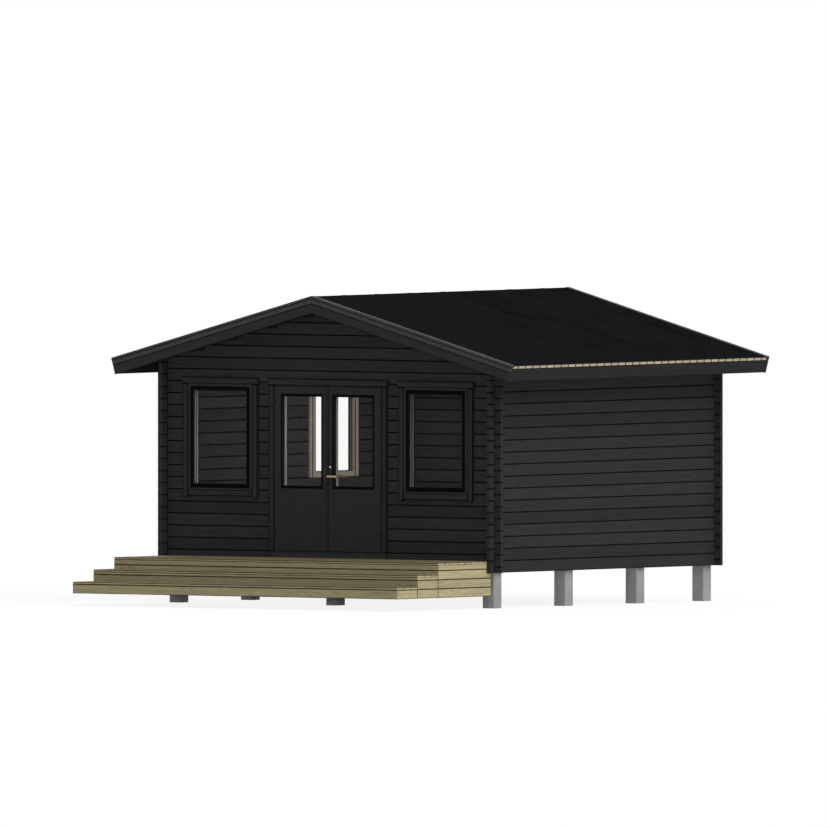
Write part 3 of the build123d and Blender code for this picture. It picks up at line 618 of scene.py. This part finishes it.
# The lines where the cap, the upper board and the bargeboard meet are painted shade.
verge_grey = timber("stained_verge_trim", (0.026, 0.026, 0.026), (0.038, 0.038, 0.0378), "slope",
                    lines=[("over", level, line_width / 2) for level in (under_cap, under_batten)])
verge_black = timber("stained_bargeboards", black_dark, black_light, "slope",
                     lines=[("over", level, line_width / 2)
                            for level in (under_batten, under_barge)])
eave_black = timber("stained_fascias", (0.0100, 0.0100, 0.0100), (0.0160, 0.0160, 0.0159), "y")
give_finish("verge_caps", verge_grey)
give_finish("verge_battens", verge_grey)
give_finish("front_bargeboards", verge_black)
give_finish("rear_bargeboards", verge_black)
give_finish("eave_fascias", eave_black)


# Roofing. Lengths of black mineral bitumen sheet, 625 mm of cover each, laid from one eave
# over the ridge to the other, each lapped 80 mm over the next and bonded to it.
def closed_tube(points):
    """Faces of sections (pieces, stations, points) joined along their path, with flat ends."""
    count, stations, around = points.shape[:3]
    index = np.arange(count * stations * around).reshape(count, stations, around)
    beside = np.roll(index, -1, axis=2)
    sides = np.stack([index[:, :-1], beside[:, :-1], beside[:, 1:], index[:, 1:]], axis=3)
    return sides.reshape(-1, 4).tolist() + index[:, 0, ::-1].tolist() + index[:, -1].tolist()


first_seam, sheet_cover, sheet_lap, sheet_count = 0.315, 0.625, 0.08, 8
seam = first_seam + sheet_cover * np.arange(sheet_count - 1)
sheet_low = np.concatenate([[cap_front], seam - sheet_lap])
sheet_high = np.concatenate([seam - sheet_lap, [cap_rear]])
lapped = np.arange(sheet_count) < sheet_count - 1
tail = np.where(lapped, sheet_lap, 0.0)
sheet = 0.0022
step = np.where(lapped, sheet + 0.0001, 0.0)
level = np.full(sheet_count, -0.0059)
across = np.stack([sheet_low, sheet_high - 0.012, sheet_high - 0.002, sheet_high + tail,
                   sheet_high + tail, sheet_high - 0.002, sheet_high - 0.012, sheet_low], axis=1)
height = np.stack([level, level, level + step, level + step, level + step + sheet,
                   level + step + sheet, level + sheet, level + sheet], axis=1)
# The path from eave to eave: straight runs, with a round bend of five points at the ridge.
lean = roof_pitch * np.array([-1, -1, -0.5, 0, 0.5, 1, 1])
bend = 0.015
eave_x = (slope_run - 0.0005) * math.cos(roof_pitch)
eave_z = ridge_top - (slope_run - 0.0005) * math.sin(roof_pitch)
path_x = bend * np.sin(lean)
path_z = ridge_top - bend / math.cos(roof_pitch) + bend * np.cos(lean)
path_x[[0, -1]] = -eave_x, eave_x
path_z[[0, -1]] = eave_z
sheets = np.stack([path_x[:, None] + height[:, None] * np.sin(lean)[:, None],
                   np.broadcast_to(front_face + across[:, None], (sheet_count, 7, 8)),
                   path_z[:, None] + height[:, None] * np.cos(lean)[:, None]], axis=3)
chance = np.random.default_rng(5).random(sheet_count)
covering = make_mesh("roofing_sheets", sheets, closed_tube(sheets),
                     {"board": (chance[:, None, None] * np.ones((sheet_count, 7, 8))).ravel()})

bitumen, tree, shader = new_finish("mineral_bitumen")
place = add(tree, "TexCoord").outputs["Object"]
granules = add(tree, "TexNoise", {"Vector": place, "Scale": 420.0, "Detail": 2.0}).outputs[0]
weather = add(tree, "TexNoise", {"Vector": place, "Scale": 2.4, "Detail": 5.0}).outputs[0]
own_shade = add(tree, "Attribute", attribute_name="board").outputs["Fac"]
weather = add(tree, "Math", {0: own_shade, 1: 0.35, 2: weather},
              operation="MULTIPLY_ADD").outputs[0]
speckled = add(tree, "Math", {0: granules, 1: 0.9, 2: weather}, operation="MULTIPLY_ADD").outputs[0]
dark_blue = shades(tree, speckled, [(0.75, (0.0035, 0.0036, 0.0042)),
                                    (1.4, (0.0068, 0.0069, 0.0080))])
along_y = add(tree, "SeparateXYZ", {0: place}).outputs[1]
# Painted shade: a dark line along each seam where one sheet laps over the next.
seam_line = joint_shadow(tree, along_y, front_face + first_seam, sheet_cover, 0.007, 0.015)
seam_line = add(tree, "MapRange", {"Value": seam_line, "To Min": 0.05, "To Max": 1.0}).outputs[0]
dark_blue = add(tree, "VectorMath", {0: dark_blue, "Scale": seam_line},
                operation="SCALE").outputs[0]
tree.links.new(dark_blue, shader.inputs["Base Color"])
rough = add(tree, "MapRange", {"Value": granules, "To Min": 0.98, "To Max": 0.82}).outputs[0]
tree.links.new(rough, shader.inputs["Roughness"])
bump = add(tree, "Bump", {"Height": granules, "Strength": 0.5, "Distance": 0.001})
tree.links.new(bump.outputs[0], shader.inputs["Normal"])
shader.inputs["Specular IOR Level"].default_value = 0.0
dress(covering, bitumen, ["roofing_left", "roofing_right"])


# Windows. Each has a fixed frame in the wall, a black outward sash that laps over it, a second
# sash of bare wood on the room side, and a single pane held by black rubber strips, with a
# wide flat black strip round it that is painted shade.
bare_dark, bare_light = (0.092, 0.083, 0.071), (0.150, 0.134, 0.113)
side_centre = front_face + 3.15
# The dark lines and bands on the frames are painted shade.
front_frames = timber("window_frames_front", black_dark, black_light, "z",
                      lines=[("y", front_face + 0.0221, 0.010), ("y", front_face + 0.062, 0.007)],
                      inside=("y", front_face - 0.019, bare_dark, bare_light), figure=0.35)
side_frame = timber("window_frame_side", black_dark, black_light, "z",
                    lines=[("x", -2.2779, 0.009), ("y", side_centre - 0.506, 0.027),
                           ("y", side_centre - 0.431, 0.009), ("y", side_centre + 0.378, 0.008),
                           ("y", side_centre + 0.482, 0.045)],
                    inside=("x", -2.296, bare_dark, bare_light), figure=0.35)
give_finish("left_front_window_frame", front_frames)
give_finish("right_front_window_frame", front_frames)
give_finish("side_window_frame", side_frame)

clear, tree, shader = new_finish("window_pane_glass")
place = add(tree, "TexCoord").outputs["Object"]
wavy = add(tree, "TexNoise", {"Vector": place, "Scale": 3.0, "Detail": 1.0}).outputs[0]
tint = shades(tree, wavy, [(0.3, (0.008, 0.009, 0.009)), (0.7, (0.011, 0.013, 0.013))])
tree.links.new(tint, shader.inputs["Base Color"])
bump = add(tree, "Bump", {"Height": wavy, "Strength": 0.03, "Distance": 0.004})
tree.links.new(bump.outputs[0], shader.inputs["Normal"])
smooth = add(tree, "MapRange", {"Value": wavy, "To Min": 0.02, "To Max": 0.06}).outputs[0]
tree.links.new(smooth, shader.inputs["Roughness"])
shader.inputs["Alpha"].default_value = 0.015
shader.inputs["Specular IOR Level"].default_value = 0.5
give_finish("window_glass", clear)
give_finish("left_door_glass", clear)
give_finish("right_door_glass", clear)


def gaskets_and_shade_strips(name, panes, width, height, turned_side=False):
    """Rubber gaskets round panes: a five-sided section carried round each pane's edge.

    panes is (panes, 2, 3): the low and high corners of each opening on the pane's outer face.
    The section starts on the opening's edge, lies width over the pane at its foot and stands
    height in front of it; the corners are mitred because each point keeps its distance
    from both sides. Made flat and wide, the same rings are the black strips of painted shade
    round the panes.
    """
    panes = np.asarray(panes, float)
    section = np.array([(0, 0), (0, 1), (0.45, 1), (0.85, 0.6), (1, 0)]) * (width, height)
    corner = np.array([(0, 0), (1, 0), (1, 1), (0, 1)])
    inward = 1 - 2 * corner
    low, high = panes[:, 0], panes[:, 1]
    across, up, out = (1, 2, 0) if turned_side else (0, 2, 1)
    points = np.empty((len(panes), 4, 5, 3))
    for axis, column in ((across, 0), (up, 1)):
        edge = low[:, axis, None] + (high - low)[:, axis, None] * corner[:, column]
        points[..., axis] = edge[:, :, None] + inward[:, column, None] * section[:, 0]
    points[..., out] = low[:, out, None, None] - section[:, 1]
    index = np.arange(points[..., 0].size).reshape(len(panes), 4, 5)
    after, beside = np.roll(index, -1, axis=1), np.roll(index, -1, axis=2)
    faces = np.stack([index, after, np.roll(after, -1, axis=2), beside], axis=3).reshape(-1, 4)
    if turned_side:
        faces = faces[:, ::-1]
    return make_mesh(name, points, faces.tolist())


# Black rubber for the gaskets; the same finish makes the flat strips of painted shade.
rubber_and_shade, tree, shader = new_finish("black_rubber_and_shade")
place = add(tree, "TexCoord").outputs["Object"]
matt = add(tree, "TexNoise", {"Vector": place, "Scale": 90.0, "Detail": 3.0}).outputs[0]
tone = shades(tree, matt, [(0.3, (0.0015, 0.0015, 0.0015)), (0.7, (0.0035, 0.0035, 0.0035))])
tree.links.new(tone, shader.inputs["Base Color"])
rough = add(tree, "MapRange", {"Value": matt, "To Min": 0.6, "To Max": 0.8}).outputs[0]
tree.links.new(rough, shader.inputs["Roughness"])
bump = add(tree, "Bump", {"Height": matt, "Strength": 0.1, "Distance": 0.0005})
tree.links.new(bump.outputs[0], shader.inputs["Normal"])
shader.inputs["Specular IOR Level"].default_value = 0.0
front_sill, side_sill = 1.2775, 1.345
front_plane, side_plane = front_face - 0.017, -2.317
gasket_width, gasket_height = 0.009, 0.006
strip_out, strip_width, strip_depth = 0.0102, 0.040, 0.0018
# Each pane gets a rubber gasket and, further out, a wide flat black strip that is painted shade.
for kind, out, half, foot, head, width, height in (
        ("gasket", 0.0, 0.3675, 0.0588, 1.115, gasket_width, gasket_height),
        ("shade_strip", strip_out, 0.4105, 0.0188, 1.158, strip_width, strip_depth)):
    front = [[(x - half, front_plane - out, front_sill + foot),
              (x + half, front_plane - out, front_sill + head)] for x in (-1.5, 1.5)]
    dress(gaskets_and_shade_strips(f"front_window_{kind}s", front, width, height), rubber_and_shade)
    side = [[(side_plane - out, side_centre - half, side_sill + foot),
             (side_plane - out, side_centre + half, side_sill + head)]]
    dress(gaskets_and_shade_strips(f"side_window_{kind}", side, width, height, True), rubber_and_shade)


# Casings. Planed boards, 70 by 30 mm, nailed round the windows and the doorway and stained
# black. The head board runs past the uprights and stands a little proud of them.
# The casing boards' arrises are darkened strongly, as painted shade along their edges.
stained_boards = timber("stained_casing_boards", black_dark, black_light, "board",
                        board_shift=0.08, arris_shade=0.03)
for number, name in enumerate(("left_front_window", "right_front_window", "side_window", "door")):
    casing = rounded_boards(f"{name}_casing_boards", boxes_of(f"{name}_casing"), 0.003,
                            20 + number, 0.009)
    dress(casing, stained_boards, [f"{name}_casing"])


# Double door. Two black stained leaves with a solid lower panel and a tall pane each, a black
# frame behind them, and a natural wood bead round the room side of each pane.
# The line on either side of the meeting stiles is painted shade in the gap between the leaves.
leaf_black = timber("stained_door_leaves", (0.0142, 0.0142, 0.0142), (0.0182, 0.0182, 0.0181), "z",
                    lines=[("x", -0.0165, 0.004), ("x", 0.0165, 0.004)],
                    inside=("y", front_face + 0.0102, bare_dark, bare_light), figure=0.3)
# The frame is a lighter black than the leaves and walls: painted light in the shade of the doorway.
frame_black = timber("stained_door_frame", (0.020, 0.020, 0.020), (0.032, 0.032, 0.032), "x")
give_finish("left_door_leaf", leaf_black)
give_finish("right_door_leaf", leaf_black)
give_finish("door_frame", frame_black)

for side, sign in (("left", -1), ("right", 1)):
    x0, x1 = sorted((sign * 0.090, sign * 0.627))
    pane = [[(x0, front_face - 0.012, 1.330), (x1, front_face - 0.012, 2.3475)]]
    dress(gaskets_and_shade_strips(f"{side}_door_gasket", pane, gasket_width, 0.008), rubber_and_shade,
          body=f"{side}_door")
    # The wide flat black strip round each door pane is painted shade.
    strip = [[(x0 - 0.022, front_face - 0.0302, 1.308), (x1 + 0.022, front_face - 0.0302, 2.3695)]]
    dress(gaskets_and_shade_strips(f"{side}_door_glazing_strip", strip, 0.0215, strip_depth), rubber_and_shade,
          body=f"{side}_door")
stop = [[(-0.699, front_face + 0.016, 0.6002), (0.699, front_face + 0.031, 0.6180)]]
dress(rounded_boards("threshold_stop", stop, 0.002, 8, 0.002), stained_boards)


# Ironmongery. Black lift-off hinges, a brass lever on each side of the right hand leaf, and a
# steel lock cylinder above it, on square plates lacquered black and screwed to the leaf.
def metal(name, colour, roughness, shine=1.0, gloss=0.5):
    """Brushed metal: fine noise stretched along X moves its roughness and its colour a little."""
    finish, tree, shader = new_finish(name)
    place = add(tree, "TexCoord").outputs["Object"]
    brushed = add(tree, "Mapping", {"Vector": place, "Scale": (8.0, 400.0, 400.0)}).outputs[0]
    lines = add(tree, "TexNoise", {"Vector": brushed, "Scale": 1.0, "Detail": 3.0}).outputs[0]
    tone = shades(tree, lines, [(0.3, [0.85 * c for c in colour]), (0.7, colour)])
    tree.links.new(tone, shader.inputs["Base Color"])
    rough = add(tree, "MapRange", {"Value": lines, "To Min": roughness, "To Max": roughness + 0.15})
    tree.links.new(rough.outputs[0], shader.inputs["Roughness"])
    bump = add(tree, "Bump", {"Height": lines, "Strength": 0.1, "Distance": 0.0003})
    tree.links.new(bump.outputs[0], shader.inputs["Normal"])
    shader.inputs["Metallic"].default_value = shine
    shader.inputs["Specular IOR Level"].default_value = gloss
    return finish


brass = metal("brushed_brass", (0.34, 0.27, 0.165), 0.38)
# The lock's finish is steel inside the cylinder's round, and black lacquer all over the plates.
cylinder_centre, cylinder_radius = (0.0455, 0.0, 1.554), 0.0135
lacquer = (0.012, 0.012, 0.012, 1)
lock_finish = metal("steel_lock_on_black_plates", (0.42, 0.42, 0.42), 0.32)
tree = lock_finish.node_tree
shader = tree.nodes["Principled BSDF"]
spot = add(tree, "SeparateXYZ", {0: add(tree, "TexCoord").outputs["Object"]}).outputs
flat_spot = add(tree, "CombineXYZ", {0: spot[0], 2: spot[2]}).outputs[0]
away = add(tree, "VectorMath", {0: flat_spot, 1: cylinder_centre}, operation="DISTANCE").outputs[1]
on_plate = add(tree, "Math", {0: away, 1: cylinder_radius}, operation="GREATER_THAN").outputs[0]
bright = shader.inputs["Base Color"].links[0].from_socket
lacquered = add(tree, "Mix", {0: on_plate, 6: bright, 7: lacquer}, data_type="RGBA")
tree.links.new(lacquered.outputs[2], shader.inputs["Base Color"])
black_iron = metal("black_ironmongery", (0.006, 0.006, 0.006), 0.55, 0.0, 0.1)
give_finish("door_handle", brass)
give_finish("door_lock", lock_finish)
for name in ("door_hinge_plates", "left_door_hinges", "right_door_hinges"):
    give_finish(name, black_iron)


# Terrace. Three frames of stacked beams, 45 by 102 mm, side by side, each with its own deck
# boards of treated softwood, 28 mm thick, laid lengthwise 5 mm apart.
deck_dark, deck_light = (0.140, 0.121, 0.066), (0.215, 0.190, 0.112)
terrace_foot, beam_height, step_rise, deck_thickness = 0.14, 0.102, 0.130, 0.028
# The beams' faces that look along X are painted lighter as painted light, and their joints and the
# seam between frames are painted shade.
for name in ("bottom_step", "middle_step", "platform"):
    low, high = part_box(f"{name}_frame")
    beams = timber(f"treated_beams_{name}", deck_dark, deck_light, "ring",
                   joints=(terrace_foot, beam_height),
                   seams=("y", low.y, high.y - low.y), board_shift=0.1, darkest=0.12)
    give_finish(f"{name}_frame", beams)
board_tops = terrace_foot + step_rise * np.array([1, 2, 3])
board_edges = [*(board_tops - deck_thickness).tolist(), *(board_tops - 0.002).tolist()]
# The deck boards' tops carry painted shade, and the lines along the top and bottom edges of each
# step's boards are painted shade.
deck_timber = timber("treated_deck_boards", deck_dark, deck_light, "board", board_shift=0.14,
                     lines=[("z", z, line_width / 2) for z in board_edges],
                     end_colour=(0.28, 0.245, 0.15), top_shade=0.75)
for number, name in enumerate(("bottom_step", "middle_step", "platform")):
    deck = rounded_boards(f"{name}_deck", boxes_of(f"{name}_boards"), 0.003, 40 + number, 0.005, 0)
    dress(deck, deck_timber, [f"{name}_boards"])
